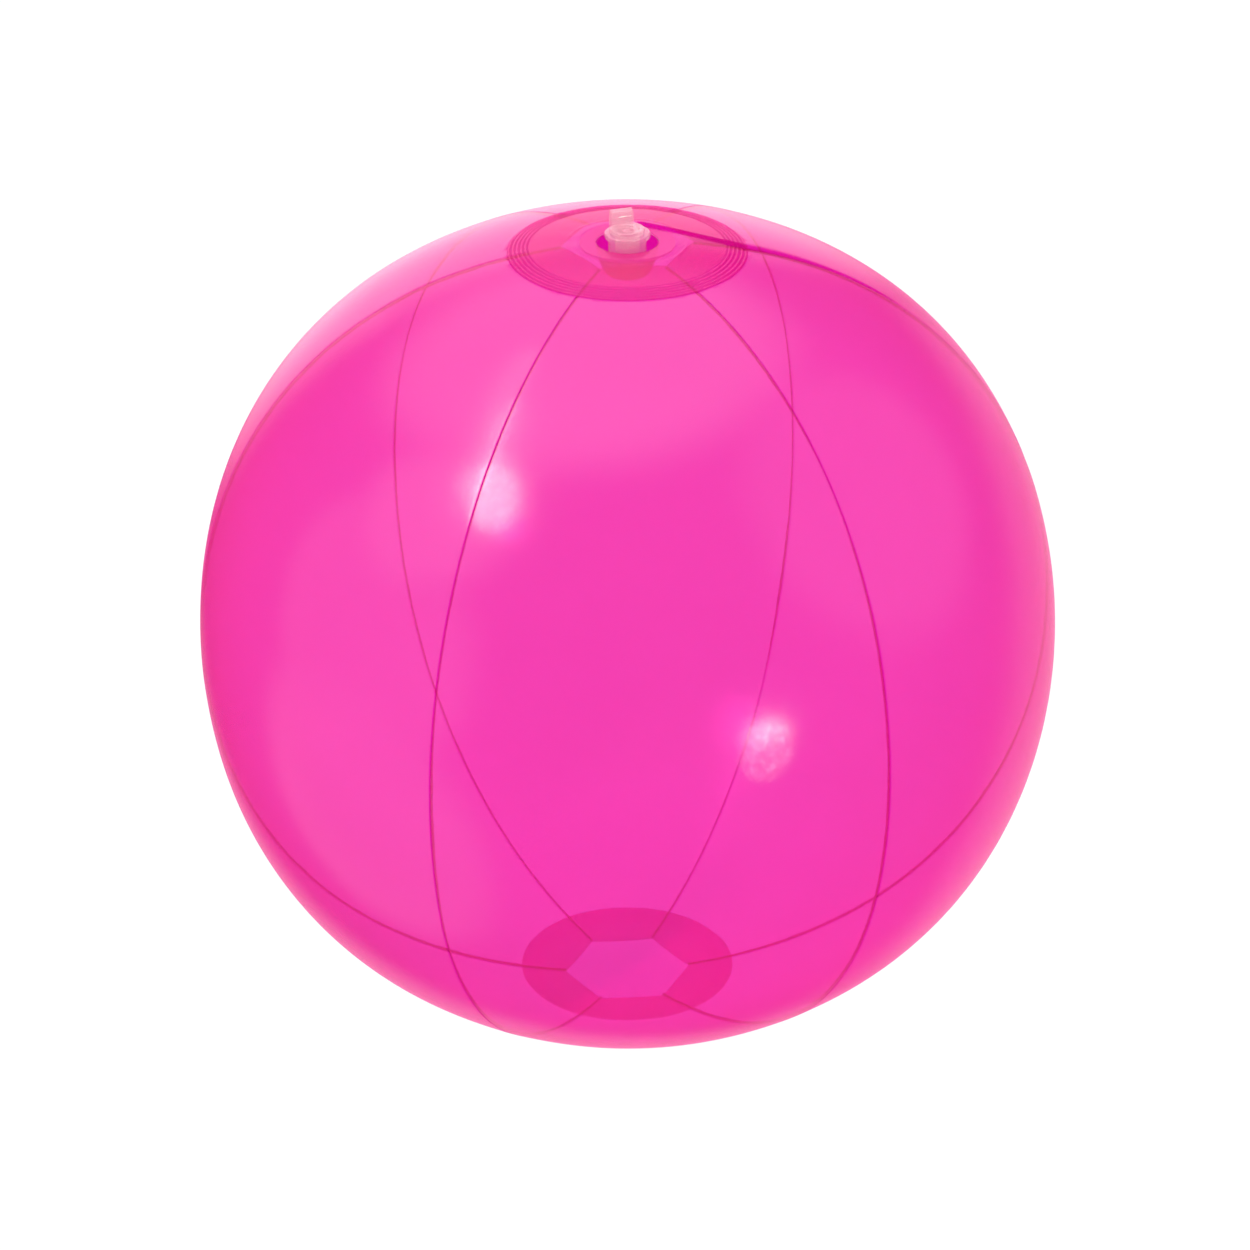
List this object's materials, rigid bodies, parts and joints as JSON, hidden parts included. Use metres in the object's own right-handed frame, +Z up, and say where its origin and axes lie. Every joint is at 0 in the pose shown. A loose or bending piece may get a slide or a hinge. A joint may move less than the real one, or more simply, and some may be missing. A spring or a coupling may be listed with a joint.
{
  "type": "inflatable beach ball",
  "caption": "See-through inflatable beach ball: welded gores between two pole caps, with a pop-up valve that has a strapped plug and an inner non-return flap.",
  "frame": {"origin": "middle of the flat patch that the ball rests on, under the bottom cap", "axes": "+Z up the pole axis to the valve, +X along a seam"},
  "size_m": [0.2784, 0.28, 0.2787],
  "materials": {
    "film": "clear pink PVC film, gloss",
    "valve": "soft clear PVC moulding, slightly pink, gloss"
  },
  "bodies": {
    "ball": {"gore_1": "film", "gore_2": "film", "gore_3": "film", "gore_4": "film", "gore_5": "film", "gore_6": "film", "top_cap": "film", "bottom_cap": "film", "valve_flange": "valve", "valve_web": "valve"},
    "valve": {"valve_stem": "valve", "flap_ring": "valve"},
    "plug": {"plug": "valve", "plug_strap": "valve"},
    "flap": {"check_flap": "valve"}
  },
  "joints": [
    {"name": "valve_pop", "type": "slide", "parent": "ball", "child": "valve", "axis": [0, 0, 1], "range_m": [0, 0.012], "deforming": ["valve_web"]},
    {"name": "plug_hinge", "type": "hinge", "parent": "valve", "child": "plug", "pos_m": [-0.00162, 0.00763, 0.27336], "axis": [-0.9781, -0.2079, 0], "range_deg": [0, 115]},
    {"name": "flap_hinge", "type": "hinge", "parent": "valve", "child": "flap", "pos_m": [0.00091, -0.0043, 0.25981], "axis": [-0.9781, -0.2079, 0], "range_deg": [0, 55], "stiffness_Nm_per_rad": 0.00002, "springref_deg": -11.46}
  ]
}
